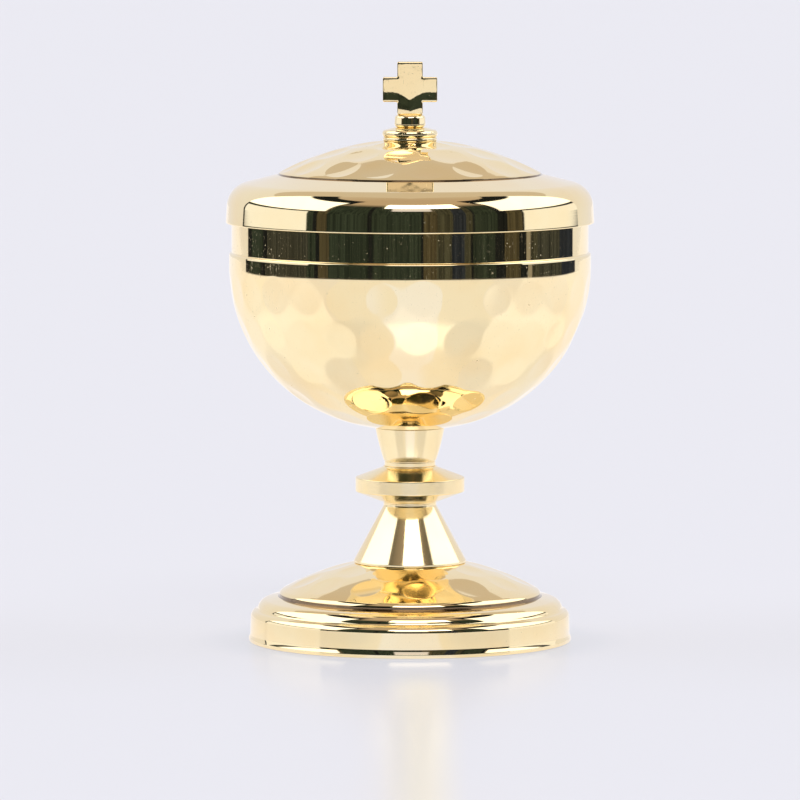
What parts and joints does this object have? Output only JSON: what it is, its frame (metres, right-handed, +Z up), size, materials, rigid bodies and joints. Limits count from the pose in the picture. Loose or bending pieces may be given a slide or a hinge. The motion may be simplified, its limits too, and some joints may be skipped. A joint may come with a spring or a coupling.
{
  "type": "ciborium vessel",
  "caption": "Covered ciborium: wide hammered cup on a stepped domed foot and knopped stem, with a lift-off domed lid topped by a plain cross.",
  "frame": {"origin": "centre of the foot's underside, on the surface that the vessel stands on", "axes": "+Z up along the vessel's axis, with the cross on the lid facing -Y"},
  "size_m": [0.1198, 0.1198, 0.1888],
  "materials": {
    "hammered_gold": "spun sheet, partly hammered, mirror polished and gold plated",
    "turned_gold": "turned from bar, polished to a fine satin and gold plated",
    "bare_brass": "machined brass, unplated, inside the vessel",
    "steel_fastener": "zinc plated steel rod and split washers, inside the vessel"
  },
  "bodies": {
    "base": {"foot_shell": "hammered_gold", "foot_washer": "bare_brass", "foot_spring_washer": "steel_fastener", "foot_nut": "bare_brass", "tie_rod": "steel_fastener", "stem_cone": "turned_gold", "knop": "turned_gold", "stem_taper": "turned_gold", "cup_boss": "bare_brass", "cup_bowl": "hammered_gold"},
    "lid": {"lid_shell": "hammered_gold", "finial_seat": "turned_gold", "finial_flange": "turned_gold", "finial_collar": "turned_gold", "cross": "turned_gold", "lid_washer": "bare_brass", "lid_spring_washer": "steel_fastener", "lid_cap_nut": "bare_brass", "finial_stud": "steel_fastener"}
  },
  "joints": [
    {"name": "lid_lift", "type": "slide", "parent": "base", "child": "lid", "axis": [0, 0, 1], "range_m": [0, 0.1]}
  ]
}
